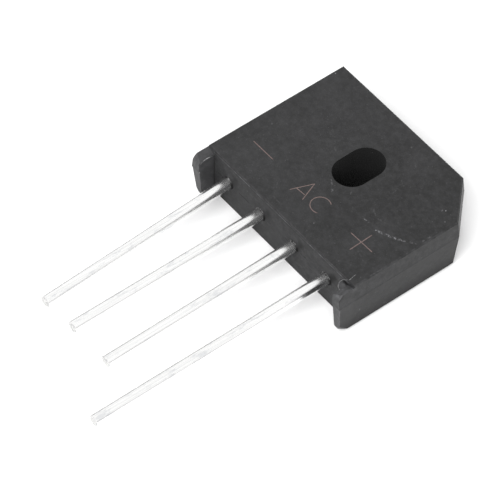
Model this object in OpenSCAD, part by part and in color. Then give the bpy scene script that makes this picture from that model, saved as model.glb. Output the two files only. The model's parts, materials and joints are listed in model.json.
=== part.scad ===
// In-line single-phase bridge rectifier, moulded body with four round wire leads.
// Lies on its heat-sink face. Origin: centre of the screw slot, on that face.
// +X points to the positive lead, +Y away from the leads, +Z out of the marked face.

/* [Body] */
// Width of the body across the parting line
body_w = 22.95; // [22:0.05:24]
// Height of the body from the recessed lead wall to the top edge
body_h = 17.15; // [16.8:0.05:18.5]
// Thickness of the body, heat-sink face to marked face
body_t = 6.6; // [6.5:0.1:7.1]
// Height of the parting line above the heat-sink face
part_z = 4.55; // [4.4:0.05:4.7]
// Mould draft of the four sides, in degrees
draft = 5; // [3:0.5:7]
// Leg of the corner cut that marks the positive side
corner_cut = 4.2; // [3.6:0.1:4.8]
// Bevel around the heat-sink face
back_bevel = 0.3; // [0.1:0.05:0.5]
// Bevel around the marked face
front_bevel = 0.15; // [0.05:0.05:0.3]
// Radius of the full top corner
corner_r = 0.3; // [0.15:0.05:0.5]

/* [Lead wall] */
// Height of the lip along the bottom of the marked face
lip_h = 0.76; // [0.4:0.02:1]
// How far the lip stands proud of the lead wall
lip_out = 0.07; // [0.05:0.01:0.2]

/* [Feet] */
// Thickness of each stand-off foot
foot_w = 1.13; // [0.9:0.01:1.5]
// How far the marked half of each foot stands out past the lead wall
foot_len = 2.0; // [1.9:0.02:2.2]
// Step at the parting line where the other half of the foot is shorter
foot_step = 0.08; // [0:0.02:0.2]
// Height of the inner top edge of the feet
foot_top = 5.95; // [5.8:0.05:6.05]
// Tilt of the foot tops towards the lead wall recess, in degrees
foot_tilt = 22; // [15:1:30]
// Radius of the foot tip at the marked face
foot_r = 1.0; // [0.6:0.05:1.1]
// Radius of the foot tip at the heat-sink face
foot_back_r = 1.3; // [0.8:0.05:1.5]
// Depth of the bevel on the outer corner of each foot at the heat-sink face
foot_bevel = 0.4; // [0.1:0.05:0.5]

/* [Screw slot] */
// Width of the screw slot
slot_w = 3.9; // [3.7:0.05:4.1]
// Overall length of the screw slot
slot_len = 5.8; // [5.1:0.1:5.9]
// Distance from the recessed lead wall to the slot centre
slot_y = 9.72; // [9.5:0.02:10]

/* [Leads] */
// Diameter of the lead wire
lead_d = 1.25; // [1.2:0.01:1.3]
// Lead spacing
pitch = 5.08; // [4.9:0.02:5.2]
// Height of the lead axes above the heat-sink face
lead_z = 3.64; // [3.5:0.02:3.8]
// Shift of the lead row along X, off the middle of the body
lead_shift = -0.58; // [-0.6:0.02:0]
// Length of the two alternating-current leads below the lead wall
lead_len = 22.85; // [10:0.05:26]
// Length of the negative lead below the lead wall
minus_len = 23.1; // [10:0.05:26]
// Length of the positive lead below the lead wall
plus_len = 27.95; // [12:0.05:31]
// Sideways lean of the negative lead towards the others, in degrees
minus_lean = 2.6; // [-3:0.1:3]
// Sideways lean of the second alternating-current lead, in degrees
ac2_lean = 0.5; // [-2:0.1:2]
// Length of the flattened tang inside the body
tang_len = 3.9; // [3:0.1:4]
// Width of the flattened tang
tang_w = 1.6; // [1.4:0.05:1.8]
// Thickness of the flattened tang
tang_t = 0.8; // [0.6:0.05:0.8]

/* [Diodes and frames] */
// Side of each square silicon die
die_w = 2.8; // [2.2:0.1:3]
// Thickness of each silicon die
die_t = 0.3; // [0.2:0.01:0.35]
// Thickness of every solder layer
solder_t = 0.08; // [0.05:0.01:0.1]
// Thickness of the two alternating-current plates
plate_t = 1.0; // [0.6:0.1:1.4]
// Thickness of the two direct-current straps
strap_t = 0.5; // [0.4:0.05:0.6]
// Diameter of the dimple that presses on each die
dimple_d = 1.9; // [1.4:0.1:2.2]

/* [Hidden] */
$fn = 64;

hw = body_w / 2;
wall_y = -slot_y;                     // the recessed wall the leads come out of
top_y = wall_y + body_h;
front_in = (body_t - part_z) * tan(draft);
back_in = part_z * tan(draft);
wall_draft = tan(1.5);                // the lead wall has less draft than the sides
foot_y = wall_y - foot_len;
root_in = 0.04;                       // how deep the round wire runs past the lead wall
lead_x = [for (i = [-1.5, -0.5, 0.5, 1.5]) i * pitch + lead_shift];

tang_z = lead_z - 0.3;                // underside of the tangs, all four alike
plate_top = tang_z - solder_t;
die_z = tang_z;
strap_z = tang_z + tang_t + solder_t; // underside of the straps
dimple_z = die_z + die_t + solder_t;  // underside of the dimples

// where each die sits, measured from the lead wall
die_at = [[-4.95, 7.45], [-5.6, 12.1], [4.95, 7.45], [5.6, 12.1]];

// cross-section seen from the lead end, drafted both ways from the parting line
module side_profile() {
  b = back_bevel; f = front_bevel;
  polygon([[-hw + back_in + b, 0], [hw - back_in - b, 0], [hw - back_in, b], [hw, part_z],
           [hw - front_in, body_t - f], [hw - front_in - f, body_t],
           [-hw + front_in + f, body_t], [-hw + front_in, body_t - f], [-hw, part_z], [-hw + back_in, b]]);
}

// outline seen from the marked face, with the full top corner rounded
module plan_profile() {
  r = corner_r;
  difference() {
    translate([-hw, foot_y]) square([body_w, top_y - foot_y]);
    // top left corner
    difference() {
      translate([-hw - 1, top_y - r]) square([r + 1, r + 1]);
      translate([-hw + r, top_y - r]) circle(r = r);
    }
  }
}

// the side of the half-space that the corner cut leaves, drafted like the sides
module corner_profile() {
  b = back_bevel; f = front_bevel;
  reach = (hw + top_y - corner_cut) / sqrt(2);
  polygon([[-40, 0], [reach - back_in - b, 0], [reach - back_in, b], [reach, part_z],
           [reach - front_in, body_t - f], [reach - front_in - f, body_t], [-40, body_t]]);
}

// block above the feet, seen from the side in (y, z): lead wall at the low-y end
module block_profile() {
  b = back_bevel; f = front_bevel;
  lip_z = body_t - lip_h;
  polygon([[wall_y + part_z * wall_draft + b / 2, 0], [wall_y + part_z * wall_draft, b / 2],
           [wall_y, lead_z - 0.7], [wall_y, part_z + 0.7],
           [wall_y + 0.02, lip_z - 0.12], [wall_y - lip_out, lip_z],
           [wall_y - 0.03, body_t - 0.04], [wall_y + 0.01, body_t],
           [top_y - front_in - f, body_t], [top_y - front_in, body_t - f], [top_y, part_z],
           [top_y - back_in, b], [top_y - back_in - b, 0]]);
}

// foot seen from the side in (y, z): nearly square to the parting line in front, drafted behind it
module foot_profile() {
  r = foot_r; br = foot_back_r;
  y0 = foot_y + foot_step;                     // end of the back half at the parting line
  y1 = y0 + (part_z - br) * tan(5);            // where the back tip radius starts
  top = body_t - 0.13;
  union() {
    polygon([[wall_y + 1, 0], [y1 + br, 0], [y1 + br, br], [y1, br], [y0, part_z - 0.05], [foot_y, part_z + 0.01],
             [foot_y + 0.02, top - r], [foot_y + 0.02 + r, top - r], [foot_y + 0.02 + r, top], [wall_y + 1, top]]);
    intersection() {
      translate([y1 + br, br]) circle(r = br);
      translate([y1 - 1, 0]) square([br + 1, br]);
    }
    intersection() {
      translate([foot_y + 0.02 + r, top - r]) circle(r = r);
      translate([foot_y - 1, top - r]) square([r + 1.02, r + 1]);
    }
  }
}

// one stand-off foot; s = -1 left, 1 right
module foot(s) {
  mirror([s > 0 ? 1 : 0, 0, 0]) difference() {
    translate([-hw - 1, 0, 0]) rotate([90, 0, 90]) linear_extrude(height = foot_w + 1) foot_profile();
    // top falls towards the recess
    translate([-hw + foot_w, wall_y - 5, foot_top]) rotate([0, foot_tilt, 0])
      translate([-5, 0, 0]) cube([10, 5 - lip_out / 2, 5]);
    // oblique bevel on the outer corner at the heat-sink face
    translate([-hw + (part_z - 1.45) * tan(draft), wall_y - 1.65, 1.45]) rotate([0, 122.5, 213])
      translate([-5, -5, 0.4 - foot_bevel]) cube([10, 10, 5]);
  }
}

module outer_form() {
  intersection() {
    translate([0, top_y + 5, 0]) rotate([90, 0, 0]) linear_extrude(height = body_h + foot_len + 12) side_profile();
    linear_extrude(height = body_t) plan_profile();
    rotate([0, 0, 45]) translate([0, 40, 0]) rotate([90, 0, 0]) linear_extrude(height = 80) corner_profile();
    union() {
      translate([-hw - 5, 0, 0]) rotate([90, 0, 90]) linear_extrude(height = body_w + 10) block_profile();
      foot(-1);
      foot(1);
    }
  }
}

module slot_cut() {
  e = (slot_len - slot_w) / 2;
  for (s = [-1, 1]) translate([0, s * e, -1]) cylinder(d = slot_w, h = body_t + 2);
  translate([-slot_w / 2, -e, -1]) cube([slot_w, 2 * e, body_t + 2]);
}

module wire_lead(x, len, lean) {
  translate([x, wall_y, 0]) {
    // round wire, cut square at the tip
    translate([0, root_in, lead_z]) rotate([90, 0, lean]) cylinder(d = lead_d, h = len + root_in);
    // coined tang
    translate([-tang_w / 2, root_in / 2, tang_z]) cube([tang_w, tang_len, tang_t]);
  }
}

module joint_pad(x, z) {
  translate([x - tang_w / 2, wall_y + 1.2, z]) cube([tang_w, tang_len - 1.2, solder_t]);
}

// flat copper plate under one alternating-current lead; s = -1 left, 1 right
module ac_plate(s) {
  translate([0, wall_y, plate_top - plate_t]) linear_extrude(height = plate_t)
    polygon([for (p = [[1.15, 1.2], [5.5, 1.2], [5.5, 5.7], [9.9, 5.7], [9.9, 12.4],
                       [7.6, 14.7], [3.3, 14.7], [3.3, 6.0], [1.15, 4.9]]) [s * p[0], p[1]]]);
}

module dimple(i) {
  translate([die_at[i][0], wall_y + die_at[i][1], dimple_z])
    cylinder(d = dimple_d, h = strap_z - dimple_z + strap_t / 2);
}

module die(i) {
  translate([die_at[i][0] - die_w / 2, wall_y + die_at[i][1] - die_w / 2, die_z]) cube([die_w, die_w, die_t]);
}

module die_solder_low(i) {
  translate([die_at[i][0] - die_w / 2, wall_y + die_at[i][1] - die_w / 2, plate_top]) cube([die_w, die_w, solder_t]);
}

module die_solder_top(i) {
  translate([die_at[i][0], wall_y + die_at[i][1], die_z + die_t]) cylinder(d = dimple_d, h = solder_t);
}

module strap_plus_shape() {
  union() {
    translate([0, wall_y, strap_z]) linear_extrude(height = strap_t)
      polygon([[-6.2, 4.5], [6.1, 4.5], [6.1, 1.2], [8.6, 1.2], [8.6, 5.8], [6.2, 5.8], [6.2, 8.7],
               [3.6, 8.7], [3.6, 5.8], [-3.6, 5.8], [-3.6, 8.7], [-6.2, 8.7]]);
    dimple(0);
    dimple(2);
  }
}

module strap_minus_shape() {
  union() {
    translate([0, wall_y, strap_z]) linear_extrude(height = strap_t)
      polygon([[-9.15, 1.2], [-6.8, 1.2], [-6.8, 5.0], [-7.6, 6.0], [-7.6, 10.8], [-4.3, 10.8], [-4.3, 13.7],
               [4.3, 13.7], [4.3, 10.8], [6.9, 10.8], [6.9, 15.2], [-7.6, 15.2], [-9.4, 13.4], [-9.4, 5.0], [-9.15, 4.75]]);
    dimple(1);
    dimple(3);
  }
}

module lead_minus() { color("#d9dadb") wire_lead(lead_x[0], minus_len, minus_lean); }
module lead_ac1() { color("#d9dadb") wire_lead(lead_x[1], lead_len, 0); }
module lead_ac2() { color("#d9dadb") wire_lead(lead_x[2], lead_len, ac2_lean); }
module lead_plus() { color("#d9dadb") wire_lead(lead_x[3], plus_len, 0); }
module plate_ac1() { color("#b87333") ac_plate(-1); }
module plate_ac2() { color("#b87333") ac_plate(1); }
module strap_plus() { color("#b87333") strap_plus_shape(); }
module strap_minus() { color("#b87333") strap_minus_shape(); }
module die_ac1_plus() { color("#4a5059") die(0); }
module die_ac1_minus() { color("#4a5059") die(1); }
module die_ac2_plus() { color("#4a5059") die(2); }
module die_ac2_minus() { color("#4a5059") die(3); }
module solder_ac1_plus_low() { color("#a9abad") die_solder_low(0); }
module solder_ac1_plus_top() { color("#a9abad") die_solder_top(0); }
module solder_ac1_minus_low() { color("#a9abad") die_solder_low(1); }
module solder_ac1_minus_top() { color("#a9abad") die_solder_top(1); }
module solder_ac2_plus_low() { color("#a9abad") die_solder_low(2); }
module solder_ac2_plus_top() { color("#a9abad") die_solder_top(2); }
module solder_ac2_minus_low() { color("#a9abad") die_solder_low(3); }
module solder_ac2_minus_top() { color("#a9abad") die_solder_top(3); }
module joint_minus() { color("#a9abad") joint_pad(lead_x[0], strap_z - solder_t); }
module joint_ac1() { color("#a9abad") joint_pad(lead_x[1], plate_top); }
module joint_ac2() { color("#a9abad") joint_pad(lead_x[2], plate_top); }
module joint_plus() { color("#a9abad") joint_pad(lead_x[3], strap_z - solder_t); }

// all that the moulding compound flows around
module inner_parts() {
  wire_lead(lead_x[0], minus_len, minus_lean);
  wire_lead(lead_x[1], lead_len, 0);
  wire_lead(lead_x[2], lead_len, ac2_lean);
  wire_lead(lead_x[3], plus_len, 0);
  ac_plate(-1);
  ac_plate(1);
  strap_plus_shape();
  strap_minus_shape();
  for (i = [0:3]) { die(i); die_solder_low(i); die_solder_top(i); }
  joint_pad(lead_x[0], strap_z - solder_t);
  joint_pad(lead_x[1], plate_top);
  joint_pad(lead_x[2], plate_top);
  joint_pad(lead_x[3], strap_z - solder_t);
}

module body() {
  color("#3f4043") difference() {
    outer_form();
    slot_cut();
    inner_parts();
  }
}

body();
lead_minus();
lead_ac1();
lead_ac2();
lead_plus();
plate_ac1();
plate_ac2();
strap_plus();
strap_minus();
die_ac1_plus();
die_ac1_minus();
die_ac2_plus();
die_ac2_minus();
solder_ac1_plus_low();
solder_ac1_plus_top();
solder_ac1_minus_low();
solder_ac1_minus_top();
solder_ac2_plus_low();
solder_ac2_plus_top();
solder_ac2_minus_low();
solder_ac2_minus_top();
joint_minus();
joint_ac1();
joint_ac2();
joint_plus();
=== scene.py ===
import bpy, math, json
from mathutils import Vector, Matrix


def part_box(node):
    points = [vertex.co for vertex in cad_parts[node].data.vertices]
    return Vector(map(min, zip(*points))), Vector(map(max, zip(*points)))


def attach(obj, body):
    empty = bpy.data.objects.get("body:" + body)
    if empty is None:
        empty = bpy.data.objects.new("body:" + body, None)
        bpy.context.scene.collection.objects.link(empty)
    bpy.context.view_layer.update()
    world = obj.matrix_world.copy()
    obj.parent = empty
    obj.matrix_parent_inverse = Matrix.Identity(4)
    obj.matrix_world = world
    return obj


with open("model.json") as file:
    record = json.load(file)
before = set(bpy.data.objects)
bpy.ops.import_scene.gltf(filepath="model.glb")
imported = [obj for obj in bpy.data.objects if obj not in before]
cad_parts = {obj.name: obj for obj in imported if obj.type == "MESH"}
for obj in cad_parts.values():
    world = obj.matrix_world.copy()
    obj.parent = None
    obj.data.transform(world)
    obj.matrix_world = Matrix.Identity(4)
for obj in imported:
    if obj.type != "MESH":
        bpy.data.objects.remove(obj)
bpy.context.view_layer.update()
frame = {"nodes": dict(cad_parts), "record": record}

nodes = frame["nodes"]
MM = 0.001

# ------------------------------------------------------------------ places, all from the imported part
lo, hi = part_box("body")                      # feet included in lo.y
top_z = hi.z
leads = {n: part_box(n) for n in ("lead_minus", "lead_ac1", "lead_ac2", "lead_plus")}
lead_r = 0.000625
wire_z = leads["lead_ac1"][0].z + lead_r     # height of the wires' axes
part_z = 4.55 * MM                           # parting line of the moulding
wall_y = lo.y + 0.0020                       # lead wall, between the two feet
half_w = hi.x
pitch = 5.08
row_x = (leads["lead_ac1"][0].x + leads["lead_ac1"][1].x) / 2 / MM + pitch / 2
lx = [row_x + k * pitch for k in (-1.5, -0.5, 0.5, 1.5)]     # wire centres at the wall
WZ = wire_z / MM


def near(mesh_obj, name):
    mesh_obj.name = name
    mesh_obj.data.name = name
    return mesh_obj


# ------------------------------------------------------------------ camera
def make_camera():
    az, el, roll = math.radians(50.772), math.radians(50.696), math.radians(1.174)
    v = Vector((math.sin(az) * math.cos(el), -math.cos(az) * math.cos(el), math.sin(el)))
    right = (-v).cross(Vector((0, 0, 1))).normalized()
    up = right.cross(-v).normalized()
    r2 = right * math.cos(roll) + up * math.sin(roll)
    u2 = -right * math.sin(roll) + up * math.cos(roll)
    aim = Vector((0, wall_y + 3.0 * MM, 3.0 * MM))
    pos = aim + v * (388.8 * MM) + r2 * (-5.304 * MM) + u2 * (-2.602 * MM)
    data = bpy.data.cameras.new("camera")
    data.sensor_width = 36
    data.lens = 287.2
    data.clip_start = 0.02
    data.clip_end = 20
    cam = bpy.data.objects.new("camera", data)
    cam.matrix_world = Matrix((
        (r2.x, u2.x, v.x, pos.x), (r2.y, u2.y, v.y, pos.y), (r2.z, u2.z, v.z, pos.z), (0, 0, 0, 1)))
    bpy.context.scene.collection.objects.link(cam)
    bpy.context.scene.camera = cam
    return cam


cam = make_camera()


# ------------------------------------------------------------------ small node helpers
class Tree:
    def __init__(self, name):
        self.m = bpy.data.materials.new(name)
        self.m.use_nodes = True
        self.nt = self.m.node_tree
        self.nt.nodes.clear()
        self.out = self.nt.nodes.new("ShaderNodeOutputMaterial")
        self.p = self.nt.nodes.new("ShaderNodeBsdfPrincipled")
        self.nt.links.new(self.p.outputs[0], self.out.inputs[0])

    def n(self, kind, **kw):
        node = self.nt.nodes.new(kind)
        for k, val in kw.items():
            setattr(node, k, val)
        return node

    def put(self, sock, val):
        if isinstance(val, bpy.types.NodeSocket):
            self.nt.links.new(val, sock)
        elif val is not None:
            sock.default_value = val

    def math(self, op, a, b=None, c=None, clamp=False):
        node = self.n("ShaderNodeMath", operation=op, use_clamp=clamp)
        for s, val in zip(node.inputs, (a, b, c)):
            self.put(s, val)
        return node.outputs[0]

    def vmath(self, op, a, b=None, scale=None):
        node = self.n("ShaderNodeVectorMath", operation=op)
        self.put(node.inputs[0], a)
        if b is not None:
            self.put(node.inputs[1], b)
        if scale is not None:
            self.put(node.inputs["Scale"], scale)
        return node.outputs["Value"] if op in ("DOT_PRODUCT", "LENGTH", "DISTANCE") else node.outputs["Vector"]

    def pos(self):
        return self.n("ShaderNodeTexCoord").outputs["Object"]

    def xyz(self, vec):
        s = self.n("ShaderNodeSeparateXYZ")
        self.put(s.inputs[0], vec)
        return s.outputs

    def combine(self, x, y, z):
        c = self.n("ShaderNodeCombineXYZ")
        for s, val in zip(c.inputs, (x, y, z)):
            self.put(s, val)
        return c.outputs[0]

    def noise(self, vec, scale, detail=2.0, rough=0.5, dist=0.0, dim="3D"):
        t = self.n("ShaderNodeTexNoise", noise_dimensions=dim)
        self.put(t.inputs["Vector"], vec)
        t.inputs["Scale"].default_value = scale
        t.inputs["Detail"].default_value = detail
        t.inputs["Roughness"].default_value = rough
        t.inputs["Distortion"].default_value = dist
        return t.outputs["Fac"]

    def voronoi(self, vec, scale, feature="F1", rand=1.0):
        t = self.n("ShaderNodeTexVoronoi", feature=feature)
        self.put(t.inputs["Vector"], vec)
        t.inputs["Scale"].default_value = scale
        if "Randomness" in t.inputs:
            t.inputs["Randomness"].default_value = rand
        return t.outputs

    def ramp(self, fac, a, b, to=(0.0, 1.0), smooth=True):
        r = self.n("ShaderNodeMapRange", interpolation_type="SMOOTHSTEP" if smooth else "LINEAR")
        self.put(r.inputs["Value"], fac)
        self.put(r.inputs["From Min"], a)
        self.put(r.inputs["From Max"], b)
        self.put(r.inputs["To Min"], to[0])
        self.put(r.inputs["To Max"], to[1])
        return r.outputs["Result"]

    def mix(self, fac, a, b):
        m = self.n("ShaderNodeMix", data_type="RGBA")
        self.put(m.inputs["Factor"], fac)
        self.put(m.inputs["A"], a if isinstance(a, bpy.types.NodeSocket) else (*a, 1.0))
        self.put(m.inputs["B"], b if isinstance(b, bpy.types.NodeSocket) else (*b, 1.0))
        return m.outputs["Result"]

    def band(self, v, centre, half, soft):
        """1 where v is within half of centre, fading out over soft"""
        return self.ramp(self.math("ABSOLUTE", self.math("SUBTRACT", v, centre)), half + soft, half)

    def seg(self, p, a, b):
        """distance from p to the segment a-b"""
        a, b = Vector(a), Vector(b)
        ba = b - a
        pa = self.vmath("SUBTRACT", p, tuple(a))
        h = self.math("MULTIPLY", self.vmath("DOT_PRODUCT", pa, tuple(ba)), 1.0 / ba.length_squared, clamp=True)
        return self.vmath("DISTANCE", pa, self.vmath("SCALE", tuple(ba), scale=h))

    def line(self, p, pts):
        """distance from p to a run of segments"""
        d = None
        for a, b in zip(pts, pts[1:]):
            q = self.seg(p, a, b)
            d = q if d is None else self.math("MINIMUM", d, q)
        return d

    def mul(self, *f):
        out = f[0]
        for g in f[1:]:
            out = self.math("MULTIPLY", out, g)
        return out

    def add(self, *f):
        out = f[0]
        for g in f[1:]:
            out = self.math("ADD", out, g)
        return out

    def lerp(self, fac, a, b):
        m = self.n("ShaderNodeMix", data_type="FLOAT")
        self.put(m.inputs["Factor"], fac)
        self.put(m.inputs["A"], a)
        self.put(m.inputs["B"], b)
        return m.outputs["Result"]

    def bump(self, height, distance, strength=1.0, normal=None):
        b = self.n("ShaderNodeBump")
        b.inputs["Strength"].default_value = strength
        b.inputs["Distance"].default_value = distance
        self.put(b.inputs["Height"], height)
        if normal is not None:
            self.put(b.inputs["Normal"], normal)
        return b.outputs["Normal"]


def rgb(r, g, b):
    """8-bit screen colour to scene-linear"""
    f = lambda c: (c / 255 / 12.92) if c / 255 <= 0.04045 else ((c / 255 + 0.055) / 1.055) ** 2.4
    return (f(r), f(g), f(b))


# ------------------------------------------------------------------ moulding compound
def epoxy_material():
    t = Tree("epoxy_compound")
    mm = t.vmath("SCALE", t.pos(), scale=1000.0)
    x, y, z = t.xyz(mm)
    nx, ny, nz = t.xyz(t.n("ShaderNodeNewGeometry").outputs["Normal"])
    anx, anz = t.math("ABSOLUTE", nx), t.math("ABSOLUTE", nz)
    T = top_z / MM
    W = wall_y / MM
    # soft clouds, mottle and filler grain
    cloud = t.noise(mm, 0.24, 3.0, 0.5)
    mott = t.noise(mm, 1.5, 5.0, 0.72)
    grain = t.noise(mm, 8.0, 4.0, 0.7)
    alb = t.add(t.ramp(cloud, 0.34, 0.66, (0.0030, 0.0090)), t.ramp(mott, 0.34, 0.70, (0.0, 0.0100)),
                t.ramp(grain, 0.54, 0.74, (0.0, 0.0200)), t.ramp(x, 2.0, -9.0, (0.0, 0.0025)))
    rough = t.add(t.ramp(cloud, 0.3, 0.7, (0.50, 0.58)), t.ramp(mott, 0.3, 0.7, (-0.03, 0.03)))
    front = t.mul(t.ramp(nz, 0.93, 0.99), t.ramp(z, T - 0.2, T - 0.05))
    wall = t.mul(t.ramp(ny, -0.90, -0.97), t.band(y, W, 0.25, 0.2), t.band(x, 0.0, 10.36, 0.05))
    side = t.ramp(anx, 0.9, 0.97)
    # matt walls; the lower flanks darkened towards the bottom as painted shade
    rough = t.add(rough, t.math("MULTIPLY", wall, 0.22), t.math("MULTIPLY", side, 0.06))
    low_flank_painted_shade = t.mul(side, t.ramp(z, 2.6, -0.2))
    alb = t.mul(alb, t.lerp(low_flank_painted_shade, 1.0, 0.40))
    alb = t.add(alb, t.math("MULTIPLY", wall, t.ramp(x, 2.0, 10.0, (0.0035, 0.0095))), t.math("MULTIPLY", side, t.ramp(z, 4.5, 4.62, (-0.001, 0.0055))))
    rough = t.math("ADD", rough, t.math("MULTIPLY", low_flank_painted_shade, 0.13))
    # rubbed edges, lighter in broken patches: partly wear, partly a painted highlight along the edges
    edge_wear_and_painted_highlight = t.mul(t.ramp(anz, 0.965, 0.85), t.ramp(anz, 0.25, 0.45), t.ramp(t.noise(mm, 0.9, 3.0, 0.6), 0.36, 0.62))
    alb = t.math("ADD", alb, t.math("MULTIPLY", edge_wear_and_painted_highlight, 0.012))
    # lip on the lead wall: a band darkened as painted shade under the top edge, with a fine pale line under it that is
    # a painted highlight on the lip's lower edge
    lip_band_painted_shade = t.mul(wall, t.band(z, T - 0.36, 0.16, 0.14))
    alb = t.mul(alb, t.lerp(lip_band_painted_shade, 1.0, 0.80))
    rough = t.math("ADD", rough, t.math("MULTIPLY", lip_band_painted_shade, 0.05))
    dash = t.noise(t.vmath("MULTIPLY", mm, (0.75, 0.3, 0.3)), 1.0, 3.0, 0.6)
    # painted highlight: a broken pale line standing for the lip's lower edge catching light
    lip_edge_painted_highlight = t.mul(wall, t.band(z, T - 0.36, 0.02, 0.06), t.ramp(dash, 0.40, 0.62, (0.12, 1.0)))
    alb = t.math("ADD", alb, t.math("MULTIPLY", lip_edge_painted_highlight, 0.07))
    # broken seam along the lead wall, and the parting line on the sides
    dash2 = t.noise(t.vmath("MULTIPLY", mm, (0.9, 0.2, 0.2)), 1.0, 2.0, 0.5)
    gaps = t.math("MAXIMUM", t.ramp(dash2, 0.54, 0.62, (0.0, 0.55)),
                  t.math("MAXIMUM", t.band(x, -5.75, 0.65, 0.3), t.band(x, 3.73, 0.08, 0.12)))
    seam = t.mul(wall, t.band(z, WZ, 0.035, 0.05), gaps)
    alb = t.mul(alb, t.lerp(seam, 1.0, 0.05))
    rough = t.math("ADD", rough, t.math("MULTIPLY", seam, 0.15))
    blot = t.noise(mm, 1.7, 3.0, 0.7)
    alb = t.mul(alb, t.lerp(t.math("MAXIMUM", side, wall), 1.0, t.ramp(blot, 0.34, 0.66, (0.70, 1.35))))
    part = t.mul(t.math("MAXIMUM", side, t.ramp(t.math("ABSOLUTE", ny), 0.6, 0.7)),
                 t.math("SUBTRACT", 1.0, wall), t.band(z, part_z / MM + 0.10, 0.06, 0.10))
    alb = t.mul(alb, t.lerp(part, 1.0, 0.72))
    # painted shadow on the wall beside each wire: a dark streak up and to the right of each root, strongest by the
    # last wire
    for n, cx in enumerate(lx):
        d = t.seg(mm, (cx + 0.45, W, WZ + 0.15), (cx + 1.15, W, WZ + 1.25))
        wire_root_painted_shadow = t.mul(wall, t.ramp(d, 0.70, 0.10))
        alb = t.mul(alb, t.lerp(wire_root_painted_shadow, 1.0, 0.15 if n == 3 else 0.45))
        rough = t.math("ADD", rough, t.math("MULTIPLY", wire_root_painted_shadow, 0.12))
    # inside of the screw slot: painted shade, near black, and dull
    slot_painted_shade = t.mul(t.band(x, 0.0, 2.05, 0.1), t.band(y, 0.0, 3.0, 0.1), t.ramp(anz, 0.6, 0.4))
    alb = t.mul(alb, t.lerp(slot_painted_shade, 1.0, 0.04))
    rough = t.lerp(slot_painted_shade, rough, 0.95)
    # stand-off feet: scuffed and lighter on top; the left foot's inner face lifted as painted light, and painted shade
    # in the right foot's corner by the wall
    foot = t.ramp(y, W - 0.05, W - 0.3)
    streak = t.noise(t.vmath("MULTIPLY", mm, (3.0, 1.2, 1.6)), 1.0, 4.0, 0.65)
    alb = t.add(alb, t.math("MULTIPLY", foot, 0.004),
                t.mul(foot, t.ramp(nz, 0.3, 0.8), t.ramp(streak, 0.32, 0.68, (0.010, 0.030)), t.ramp(x, -5.0, 5.0, (0.45, 1.3))),
                t.mul(foot, t.ramp(ny, -0.4, -0.8), t.ramp(streak, 0.35, 0.65, (0.004, 0.022))))
    # painted light: the left foot's inner face is made evenly lighter
    alb = t.math("ADD", alb, t.math("MULTIPLY", t.mul(foot, t.ramp(nx, 0.8, 0.95), t.ramp(x, -9.0, -10.0)), 0.016))
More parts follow.
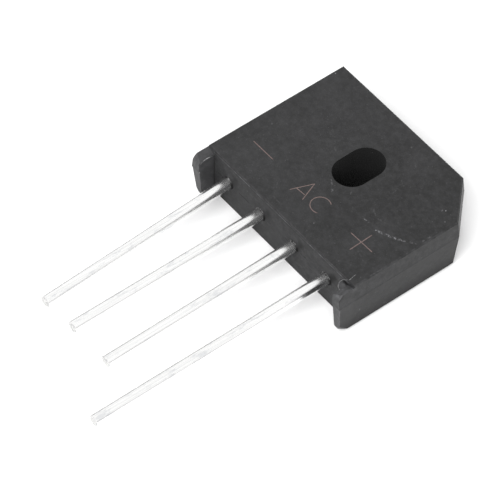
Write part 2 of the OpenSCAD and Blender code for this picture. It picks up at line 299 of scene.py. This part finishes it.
    # scuffs and scratches on the marked face and its edges
    fleck = t.noise(mm, 7.0, 3.0, 0.7)
    broken = t.ramp(t.noise(mm, 3.2, 2.0, 0.6), 0.42, 0.58)
    def scuff(pts, w, gain, soft=0.06, solid=False, z0=None):
        zz = T if z0 is None else z0
        d = t.line(mm, [(p[0], p[1], p[2] if len(p) > 2 else zz) for p in pts])
        m = t.ramp(d, w + soft, w * 0.4)
        if not solid:
            m = t.mul(m, t.ramp(fleck, 0.38, 0.62), broken)
        return t.math("MULTIPLY", m, gain)
    wear = 0.0
    for args in (
        ([(7.0, -3.85), (7.98, -3.45), (9.15, -2.90), (9.95, -2.35)], 0.08, 0.13, 0.12),
        ([(10.35, -2.1), (10.95, -1.72)], 0.05, 0.11, 0.1),
        ([(5.25, -3.78), (5.95, -3.72)], 0.05, 0.12, 0.09),
        ([(11.02, 0.15), (10.98, -1.1)], 0.05, 0.05, 0.1),
        ([(-0.45, -3.2), (0.05, -3.45), (0.80, -3.98)], 0.05, 0.08, 0.1),
        ([(1.9, -2.55), (2.15, -2.78)], 0.03, 0.06, 0.07),
        ([(4.35, -1.5), (5.2, -2.4), (6.0, -2.72), (7.1, -2.4)], 0.05, 0.022, 0.12),
        ([(4.4, 1.2), (4.65, 0.4)], 0.05, 0.018, 0.1),
        ([(5.6, 3.4), (6.3, 2.5)], 0.04, 0.02, 0.1),
        ([(8.1, -6.75), (9.5, -7.2)], 0.04, 0.03, 0.07),
        ([(-3.35, -7.5), (-2.9, -8.05)], 0.04, 0.022, 0.1),
        ([(-2.2, -8.9), (-0.9, -8.95)], 0.04, 0.022, 0.08),
        ([(-5.8, 1.3), (-4.0, 0.2), (-3.1, -0.45)], 0.05, 0.018, 0.12),
        ([(2.4, 5.2), (3.4, 4.4)], 0.05, 0.016, 0.14),
        ([(9.40, 3.15), (9.42, 3.12)], 0.035, 0.16, 0.05, True),
        ([(9.15, 2.95), (9.2, 2.8)], 0.03, 0.05, 0.05, True),
        ([(10.4, 2.2), (10.45, 2.15)], 0.03, 0.06, 0.05, True),
        ([(1.15, 5.7), (1.2, 5.68)], 0.04, 0.03, 0.08, True),
        ([(-10.92, 5.92), (-10.9, 5.9)], 0.035, 0.14, 0.05, True),
        ([(-9.6, -3.2), (-9.55, -3.25)], 0.035, 0.035, 0.06, True),
        ([(2.8, -7.9), (2.82, -7.95)], 0.035, 0.06, 0.05, True),
        ([(11.2, -7.9), (11.2, -6.3)], 0.03, 0.03, 0.07),
        ([(-10.3, W, T - 0.86), (-9.0, W, T - 0.86)], 0.05, 0.05, 0.07),
        ([(-5.25, W, 5.15), (-5.2, W, 5.1)], 0.04, 0.05, 0.07, True),
        ([(11.4, -8.25, 4.5), (11.4, -8.2, 4.35)], 0.04, 0.05, 0.07, True),
        ([(11.25, -9.0, 2.6), (11.25, -8.97, 2.4)], 0.04, 0.06, 0.06, True),
        ([(11.3, -9.4, 3.3), (11.3, -9.38, 3.2)], 0.03, 0.03, 0.06, True),
        ([(11.1, -5.8, 0.95), (11.1, -5.6, 0.9)], 0.04, 0.05, 0.06, True),
        ([(11.42, -11.66, 4.4), (11.30, -11.58, 3.0), (11.20, -11.45, 1.7)], 0.10, 0.07, 0.12),
        ([(10.5, -10.6, 5.95), (10.9, -11.1, 6.0)], 0.08, 0.05, 0.12),
        ([(10.45, -11.3, 5.5), (10.5, -11.5, 5.0)], 0.06, 0.05, 0.10),):
        wear = t.math("ADD", wear, scuff(*args))
    alb = t.math("ADD", alb, wear)
    rough = t.math("ADD", rough, t.math("MULTIPLY", wear, 1.2))
    # painted shade in the corner between the right foot and the wall, and cracks on the right foot
    right_corner_painted_shade = t.ramp(t.seg(mm, (10.35, -9.75, 5.95), (10.95, -9.95, 6.1)), 0.42, 0.12)
    crack = t.ramp(t.line(mm, [(11.3, -11.16, 6.18), (11.4, -11.70, 5.7), (11.4, -11.74, 5.1)]), 0.10, 0.03)
    alb = t.mul(alb, t.lerp(right_corner_painted_shade, 1.0, 0.75), t.lerp(crack, 1.0, 0.05))
    # painted light: the upper corners between each foot and the wall are made a little lighter
    foot_corner_painted_light = t.mul(t.band(t.math("ABSOLUTE", x), 10.9, 0.55, 0.1), t.band(y, W, 0.22, 0.1), t.ramp(z, 5.8, 6.1), t.ramp(z, T - 0.05, T - 0.2))
    alb = t.math("ADD", alb, t.math("MULTIPLY", foot_corner_painted_light, 0.014))
    # sparse pale specks
    cell = t.voronoi(mm, 2.6)
    speck = t.mul(t.ramp(cell["Distance"], 0.10, 0.03), t.ramp(t.noise(mm, 1.1, 1.0), 0.50, 0.58))
    alb = t.math("ADD", alb, t.math("MULTIPLY", speck, 0.085))
    t.put(t.p.inputs["Base Color"], t.combine(alb, alb, t.math("MULTIPLY", alb, 1.05)))
    t.put(t.p.inputs["Roughness"], rough)
    t.p.inputs["IOR"].default_value = 1.445
    h = t.add(t.math("MULTIPLY", grain, 0.6), t.math("MULTIPLY", mott, 1.0))
    t.put(t.p.inputs["Normal"], t.bump(h, 0.00002, 0.5))
    return t.m


def lead_material():
    t = Tree("tin_plate")
    pos = t.pos()
    x, y, z = t.xyz(pos)
    mm = t.vmath("SCALE", pos, scale=1000.0)
    along = t.vmath("MULTIPLY", mm, (7.0, 0.10, 7.0))
    draw = t.noise(along, 1.0, 3.0, 0.6)
    fine = t.noise(t.vmath("MULTIPLY", mm, (18.0, 3.0, 18.0)), 1.0, 3.0, 0.65)
    # the sheared end: rougher and greyer than the plated flank
    nrm = t.n("ShaderNodeNewGeometry").outputs["True Normal"]
    end = t.ramp(t.math("MULTIPLY", t.xyz(nrm)[1], -1.0), 0.90, 0.97)
    patch = t.noise(t.vmath("MULTIPLY", mm, (1.6, 0.5, 1.6)), 1.0, 4.0, 0.65)
    col = t.mix(t.ramp(draw, 0.3, 0.7), (0.86, 0.86, 0.855), (0.96, 0.96, 0.955))
    col = t.mix(t.ramp(patch, 0.50, 0.70), col, (0.76, 0.765, 0.775))
    shear = t.noise(t.vmath("MULTIPLY", mm, (3.0, 3.0, 9.0)), 1.0, 3.0, 0.6)
    endcol = t.mix(t.ramp(shear, 0.35, 0.65), (0.42, 0.42, 0.42), (0.80, 0.80, 0.79))
    # resin bleed dulls the first half millimetre of each wire
    off = t.math("SUBTRACT", wall_y / MM, t.xyz(mm)[1])
    film = t.ramp(t.math("ADD", off, t.ramp(fine, 0.3, 0.7, (-0.05, 0.05))), 0.16, 0.04)
    col = t.mix(film, col, (0.20, 0.20, 0.20))
    t.put(t.p.inputs["Base Color"], t.mix(end, col, endcol))
    t.p.inputs["Metallic"].default_value = 0.975
    side_rough = t.ramp(draw, 0.25, 0.75, (0.17, 0.28))
    t.put(t.p.inputs["Roughness"], t.math("ADD", side_rough, t.math("MULTIPLY", end, 0.35)))
    h = t.math("ADD", t.math("MULTIPLY", draw, 0.7), t.math("MULTIPLY", fine, 0.3))
    t.put(t.p.inputs["Normal"], t.bump(h, 0.000006, 0.35))
    return t.m


def copper_material():
    t = Tree("copper_frame")
    mm = t.vmath("SCALE", t.pos(), scale=1000.0)
    cloud = t.noise(mm, 0.6, 4.0, 0.6)
    brush = t.noise(t.vmath("MULTIPLY", mm, (0.6, 14.0, 14.0)), 1.0, 3.0, 0.6)
    col = t.mix(t.ramp(cloud, 0.35, 0.65), (0.55, 0.23, 0.12), (0.74, 0.37, 0.22))
    t.put(t.p.inputs["Base Color"], col)
    t.p.inputs["Metallic"].default_value = 1.0
    t.put(t.p.inputs["Roughness"], t.ramp(brush, 0.3, 0.7, (0.28, 0.42)))
    t.put(t.p.inputs["Normal"], t.bump(brush, 0.000004, 0.5))
    return t.m


def silicon_material():
    t = Tree("silicon_die")
    mm = t.vmath("SCALE", t.pos(), scale=1000.0)
    n = t.noise(mm, 3.0, 3.0, 0.5)
    t.put(t.p.inputs["Base Color"], t.mix(n, (0.035, 0.037, 0.045), (0.075, 0.08, 0.095)))
    t.p.inputs["Metallic"].default_value = 0.35
    t.put(t.p.inputs["Roughness"], t.ramp(n, 0.3, 0.7, (0.22, 0.34)))
    t.put(t.p.inputs["Normal"], t.bump(n, 0.000003, 0.4))
    return t.m


def solder_material():
    t = Tree("solder_dull")
    mm = t.vmath("SCALE", t.pos(), scale=1000.0)
    n = t.noise(mm, 5.0, 4.0, 0.6)
    t.put(t.p.inputs["Base Color"], t.mix(n, (0.30, 0.31, 0.32), (0.47, 0.48, 0.49)))
    t.p.inputs["Metallic"].default_value = 1.0
    t.put(t.p.inputs["Roughness"], t.ramp(n, 0.3, 0.7, (0.38, 0.56)))
    t.put(t.p.inputs["Normal"], t.bump(n, 0.00001, 0.5))
    return t.m


mats = {"epoxy": epoxy_material(), "tinned_lead": lead_material(), "copper": copper_material(),
        "silicon": silicon_material(), "solder": solder_material()}
slot_of = {s["node"]: s["material_slot"] for s in frame["record"]["subparts"]}
for name, obj in nodes.items():
    for s in obj.material_slots:
        s.material = mats[slot_of[name]]
    if not obj.material_slots:
        obj.data.materials.append(mats[slot_of[name]])

# ------------------------------------------------------------------ softened edges on the moulding
body = nodes["body"]
w = body.modifiers.new("weld", "WELD"); w.merge_threshold = 2e-6
d = body.modifiers.new("merge_flats", "DECIMATE"); d.decimate_type = "DISSOLVE"; d.angle_limit = math.radians(0.6)
b = body.modifiers.new("soft_edges", "BEVEL")
b.width = 0.00009; b.segments = 3; b.limit_method = "ANGLE"; b.angle_limit = math.radians(24)
b.use_clamp_overlap = True; b.harden_normals = True; b.miter_outer = "MITER_ARC"


# ------------------------------------------------------------------ polarity marks, thin laser-etched ribbons
def ribbon(points, width, z0, thick, closed=False, seed=1.0):
    """a flat closed strip along points, with slightly uneven edges"""
    pts = [Vector(p) for p in points]
    fine = []
    for a, c in zip(pts, pts[1:]):
        k = max(1, int((c - a).length / 0.12))
        fine += [a.lerp(c, i / k) for i in range(k)]
    fine.append(pts[-1])
    verts, faces = [], []
    n = len(fine)
    for i, p in enumerate(fine):
        a = fine[max(i - 1, 0)]; c = fine[min(i + 1, n - 1)]
        dirn = (c - a).normalized()
        side = Vector((-dirn.y, dirn.x))
        wob = 1 + 0.10 * math.sin(seed * 7.3 + i * 2.1) + 0.07 * math.sin(seed * 3.1 + i * 5.7)
        wdt = width / 2 * wob * (0.62 if i in (0, n - 1) else 1.0)
        for s in (1, -1):
            q = p + side * wdt * s
            verts.append((q.x * MM, q.y * MM, z0 + thick))
            verts.append((q.x * MM, q.y * MM, z0))
    for i in range(n - 1):
        a, b_ = 4 * i, 4 * (i + 1)
        faces += [(a, a + 2, b_ + 2, b_), (a + 1, b_ + 1, b_ + 3, a + 3),
                  (a, b_, b_ + 1, a + 1), (a + 2, a + 3, b_ + 3, b_ + 2)]
    faces += [(0, 1, 3, 2), (4 * n - 4, 4 * n - 2, 4 * n - 1, 4 * n - 3)]
    return verts, faces


def mark_material():
    t = Tree("laser_mark")
    mm = t.vmath("SCALE", t.pos(), scale=1000.0)
    n = t.noise(mm, 6.0, 3.0, 0.7)
    fine = t.noise(mm, 22.0, 2.0, 0.6)
    col = t.mix(t.ramp(n, 0.3, 0.7), (0.088, 0.063, 0.059), (0.136, 0.097, 0.090))
    t.put(t.p.inputs["Base Color"], col)
    t.put(t.p.inputs["Roughness"], t.ramp(fine, 0.3, 0.7, (0.75, 0.95)))
    t.put(t.p.inputs["Normal"], t.bump(fine, 0.00001, 0.6))
    return t.m


mark_mat = mark_material()


def add_mesh(name, verts, faces, mat, smooth=False):
    me = bpy.data.meshes.new(name)
    me.from_pydata(verts, [], faces)
    me.validate()
    me.update()
    ob = bpy.data.objects.new(name, me)
    bpy.context.scene.collection.objects.link(ob)
    me.materials.append(mat)
    if smooth:
        for p in me.polygons:
            p.use_smooth = True
    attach(ob, "root")
    return ob


wy = wall_y / MM
pitch3 = 7.62
mz = top_z
strokes = {
    "mark_minus": [[(-pitch3 - 1.32, wy + 3.68), (-pitch3 + 1.70, wy + 3.71)]],
    "mark_plus": [[(pitch3 - 1.69, wy + 3.87), (pitch3 + 1.41, wy + 3.94)], [(pitch3 - 0.13, wy + 2.44), (pitch3 - 0.22, wy + 5.28)]],
    "mark_a": [[(-1.92, wy + 2.60), (-0.99, wy + 4.97), (-0.16, wy + 2.77)], [(-1.75, wy + 3.23), (-0.45, wy + 3.33)]],
    "mark_c": [[(1.47 + 1.06 * math.cos(a), wy + 3.72 + 1.02 * math.sin(a)) for a in
                [math.radians(58 + i * (303 - 58) / 22) for i in range(23)]]],
}
for name, lines in strokes.items():
    V, F = [], []
    for k, ln in enumerate(lines):
        vv, ff = ribbon(ln, 0.095, mz, 0.000006 + 0.000002 * k, seed=len(name) + k)
        F += [tuple(i + len(V) for i in f) for f in ff]
        V += vv
    add_mesh(name, V, F, mark_mat)

# ------------------------------------------------------------------ moulding flash: wire roots, foot edges; the pale strip along the left foot's edge is a painted highlight
def flash_material():
    t = Tree("resin_flash")
    mm = t.vmath("SCALE", t.pos(), scale=1000.0)
    n = t.noise(mm, 5.0, 4.0, 0.65)
    col = t.mix(t.ramp(n, 0.36, 0.62), (0.060, 0.060, 0.061), (0.240, 0.238, 0.242))
    t.put(t.p.inputs["Base Color"], col)
    t.put(t.p.inputs["Roughness"], t.ramp(n, 0.3, 0.7, (0.42, 0.62)))
    t.p.inputs["IOR"].default_value = 1.46
    t.put(t.p.inputs["Normal"], t.bump(n, 0.00003, 0.6))
    return t.m


def bleed_material():
    """resin crept along a wire: dark, with painted shade (near black) on its lower right flank, and pale torn crests
    on the other side that are partly painted glints
    """
    t = Tree("resin_bleed")
    mm = t.vmath("SCALE", t.pos(), scale=1000.0)
    x, y, z = t.xyz(mm)
    n = t.noise(mm, 4.5, 3.0, 0.6)
    # angle round the nearest wire, from its offset to the wire's axis
    k = t.math("ROUND", t.math("DIVIDE", t.math("SUBTRACT", x, lx[0]), pitch))
    dx = t.math("SUBTRACT", t.math("SUBTRACT", x, lx[0]), t.math("MULTIPLY", k, pitch))
    dz = t.math("SUBTRACT", z, WZ)
    # painted shade: the lower right flank of each sleeve is near black
    collar_underside_painted_shade = t.ramp(t.math("SUBTRACT", t.math("MULTIPLY", dx, 0.8), t.math("MULTIPLY", dz, 0.6)), 0.05, 0.40)
    # pale torn crests, partly painted glints, kept to the upper side
    crest_and_painted_glint = t.mul(t.ramp(n, 0.50, 0.62), t.math("SUBTRACT", 1.0, collar_underside_painted_shade))
    alb = t.lerp(collar_underside_painted_shade, t.lerp(crest_and_painted_glint, 0.012, 0.14), 0.0008)
    t.put(t.p.inputs["Base Color"], t.combine(alb, alb, alb))
    t.put(t.p.inputs["Roughness"], t.lerp(collar_underside_painted_shade, t.ramp(n, 0.3, 0.7, (0.35, 0.6)), 0.9))
    t.p.inputs["IOR"].default_value = 1.35
    t.put(t.p.inputs["Normal"], t.bump(n, 0.00004, 0.7))
    return t.m


flash_mat, bleed_mat = flash_material(), bleed_material()


def wob(a, seed):
    return (math.sin(a * 2 + seed * 1.7) * 0.5 + math.sin(a * 3 + seed * 4.1) * 0.3 + math.sin(a * 7 + seed * 2.3) * 0.2)


def root_collar(name, cx, seed):
    """resin crept along one wire: a low torn sleeve from the wall outwards"""
    n, cz = 56, WZ
    V, F = [], []
    rings = [(0.02, 0.60, 0), (0.02, 0.745, 1), (-0.015, 0.730, 1), (-0.05, 0.690, 1), (-0.08, 0.665, 0.6), (-1.0, 0.645, 0.3), (-1.0, 0.60, 0)]
    for yy, rr, u in rings:
        for i in range(n):
            a = 2 * math.pi * i / n
            ln = 0.14 + 0.05 * wob(a, seed + 2)
            r_ = rr + u * 0.045 * wob(a, seed)
            yv = wy - (ln if yy == -1.0 else -yy)
            V.append(((cx + r_ * math.cos(a)) * MM, yv * MM, (cz + r_ * math.sin(a)) * MM))
    m = len(rings)
    for j in range(m):
        k = (j + 1) % m
        for i in range(n):
            i2 = (i + 1) % n
            F.append((j * n + i, j * n + i2, k * n + i2, k * n + i))
    return add_mesh(name, V, F, bleed_mat, smooth=True)


wy = wall_y / MM
for name, cx, seed in zip(("root_minus", "root_ac1", "root_ac2", "root_plus"), lx, (1.0, 2.2, 3.7, 5.1)):
    root_collar(name, cx, seed)


def thread(name, pts, radii, mat):
    """a six-sided strip of changing width along a smoothed run of points, for torn edges of flash and for a pale
    painted highlight on an edge
    """
    P = [Vector(p) for p in pts]
    fine, rad = [], []
    for i in range(len(P) - 1):
        p0, p1, p2, p3 = P[max(i - 1, 0)], P[i], P[i + 1], P[min(i + 2, len(P) - 1)]
        steps = max(3, int((p2 - p1).length / 0.06))
        for k in range(steps):
            u = k / steps
            q = 0.5 * ((2 * p1) + (p2 - p0) * u + (2 * p0 - 5 * p1 + 4 * p2 - p3) * u * u + (3 * p1 - p0 - 3 * p2 + p3) * u ** 3)
            fine.append(q)
            rad.append(radii[i] * (1 - u) + radii[i + 1] * u)
    fine.append(P[-1]); rad.append(radii[-1])
    V, F = [], []
    up = Vector((0.3, -0.2, 1)).normalized()
    for i, q in enumerate(fine):
        d = (fine[min(i + 1, len(fine) - 1)] - fine[max(i - 1, 0)]).normalized()
        a = d.cross(up).normalized(); b_ = a.cross(d).normalized()
        r_ = rad[i] * (1 + 0.22 * math.sin(i * 1.9) + 0.15 * math.sin(i * 4.3))
        for k in range(6):
            t_ = math.pi / 3 * k
            V.append(tuple((q + a * (r_ * math.cos(t_)) + b_ * (0.7 * r_ * math.sin(t_))) * MM))
    n = len(fine)
    for i in range(n - 1):
        for k in range(6):
            k2 = (k + 1) % 6
            F.append((6 * i + k, 6 * i + k2, 6 * i + 6 + k2, 6 * i + 6 + k))
    F.append(tuple(range(5, -1, -1))); F.append(tuple(6 * (n - 1) + k for k in range(6)))
    return add_mesh(name, V, F, mat, smooth=True)


hw = half_w / MM
fi = hw - 1.13                                # inner face of each foot
tz = top_z / MM
# painted highlight: a pale strip along the left foot's rounded inner top edge
thread("left_edge_painted_highlight", [(-fi, wy - 0.30, 5.80), (-fi, wy - 0.60, 5.93), (-fi - 0.01, wy - 0.90, 5.96), (-fi - 0.01, wy - 1.25, 5.95),
                      (-fi, wy - 1.60, 5.86), (-fi, wy - 1.86, 5.62)],
       [0.010, 0.030, 0.055, 0.042, 0.035, 0.010], flash_mat)
thread("nick_left", [(-fi + 0.01, wy - 1.93, 4.66), (-fi + 0.02, wy - 1.94, 4.56), (-fi + 0.03, wy - 1.90, 4.44)],
       [0.02, 0.06, 0.02], flash_mat)

# web of flash in the corner between the right foot and the wall, with its torn rim
rim = [(fi - 0.12, wy + 1.00, tz + 0.004), (fi - 0.07, wy + 0.55, tz + 0.012), (fi + 0.0, wy + 0.10, tz - 0.01), (fi - 0.33, wy - 0.04, tz - 0.24),
       (fi - 0.70, wy - 0.06, 6.02), (fi - 0.78, wy - 0.32, 5.96), (fi - 0.64, wy - 0.72, 5.95), (fi - 0.36, wy - 0.98, 5.93),
       (fi + 0.02, wy - 1.12, 5.93), (fi + 0.20, wy - 1.32, 5.90)]
thread("flash_right", rim, [0.012, 0.028, 0.034, 0.034, 0.040, 0.040, 0.040, 0.034, 0.028, 0.012], flash_mat)


def web(name, rim_pts, inner_pts, thick, mat):
    V, F = [], []
    n = len(rim_pts)
    for z_off in (0.0, -thick):
        for p, q in zip(rim_pts, inner_pts):
            p, q = Vector(p), Vector(q)
            for k in range(5):
                u = k / 4
                w_ = p.lerp(q, u)
                V.append((w_.x * MM, w_.y * MM, (w_.z + z_off - 0.03 * math.sin(math.pi * u)) * MM))
    def idx(layer, i, k):
        return layer * n * 5 + i * 5 + k
    for i in range(n - 1):
        for k in range(4):
            F.append((idx(0, i, k), idx(0, i, k + 1), idx(0, i + 1, k + 1), idx(0, i + 1, k)))
            F.append((idx(1, i, k), idx(1, i + 1, k), idx(1, i + 1, k + 1), idx(1, i, k + 1)))
        F.append((idx(0, i, 0), idx(0, i + 1, 0), idx(1, i + 1, 0), idx(1, i, 0)))
        F.append((idx(0, i, 4), idx(1, i, 4), idx(1, i + 1, 4), idx(0, i + 1, 4)))
    for k in range(4):
        F.append((idx(0, 0, k), idx(1, 0, k), idx(1, 0, k + 1), idx(0, 0, k + 1)))
        F.append((idx(0, n - 1, k), idx(0, n - 1, k + 1), idx(1, n - 1, k + 1), idx(1, n - 1, k)))
    return add_mesh(name, V, F, mat, smooth=True)


web("flash_web", rim[4:9], [(fi + 0.10, wy - 0.02, 5.98), (fi + 0.10, wy - 0.35, 5.95), (fi + 0.10, wy - 0.72, 5.94),
                            (fi + 0.10, wy - 0.98, 5.92), (fi + 0.10, wy - 1.12, 5.92)], 0.06, mats["epoxy"])

# ------------------------------------------------------------------ floor and light
def stage():
    s = 3.0
    me = bpy.data.meshes.new("floor")
    me.from_pydata([(-s, -s, 0), (s, -s, 0), (s, s, 0), (-s, s, 0)], [], [(0, 1, 2, 3)])
    fl = bpy.data.objects.new("floor", me)
    bpy.context.scene.collection.objects.link(fl)
    t = Tree("floor_pale")
    n = t.noise(t.vmath("SCALE", t.pos(), scale=1000.0), 0.05, 2.0)
    t.put(t.p.inputs["Base Color"], t.mix(n, (0.86, 0.86, 0.86), (0.88, 0.88, 0.88)))
    t.p.inputs["Roughness"].default_value = 0.9
    t.p.inputs["Specular IOR Level"].default_value = 0.2
    me.materials.append(t.m)

    world = bpy.data.worlds.new("studio")
    world.use_nodes = True
    wt = world.node_tree
    bg = wt.nodes["Background"]
    # a bright ceiling that falls off towards the horizon, more so on the left
    tc = wt.nodes.new("ShaderNodeTexCoord")
    sp = wt.nodes.new("ShaderNodeSeparateXYZ")
    wt.links.new(tc.outputs["Generated"], sp.inputs[0])
    lowm = wt.nodes.new("ShaderNodeMapRange")
    wt.links.new(sp.outputs["X"], lowm.inputs["Value"])
    for k, val in (("From Min", -0.9), ("From Max", 0.9), ("To Min", 0.10), ("To Max", 0.62)):
        lowm.inputs[k].default_value = val
    el = wt.nodes.new("ShaderNodeMapRange"); el.interpolation_type = "SMOOTHSTEP"
    wt.links.new(sp.outputs["Z"], el.inputs["Value"])
    for k, val in (("From Min", 0.10), ("From Max", 0.36), ("To Max", 1.04)):
        el.inputs[k].default_value = val
    wt.links.new(lowm.outputs[0], el.inputs["To Min"])
    wt.links.new(el.outputs[0], bg.inputs["Strength"])
    bg.inputs["Color"].default_value = (1, 1, 1, 1)
    bpy.context.scene.world = world

    def area(name, loc, size, power, target=(0, 0, 0.003)):
        ld = bpy.data.lights.new(name, "AREA")
        ld.shape = "RECTANGLE"
        ld.size, ld.size_y = size
        ld.energy = power
        ob = bpy.data.objects.new(name, ld)
        ob.location = loc
        d = Vector(target) - Vector(loc)
        ob.rotation_euler = d.to_track_quat("-Z", "Y").to_euler()
        bpy.context.scene.collection.objects.link(ob)
        return ob

    area("key", (0.30, -0.55, 0.70), (0.6, 0.6), 9.0)
    bpy.context.scene.view_settings.view_transform = "Standard"


stage()
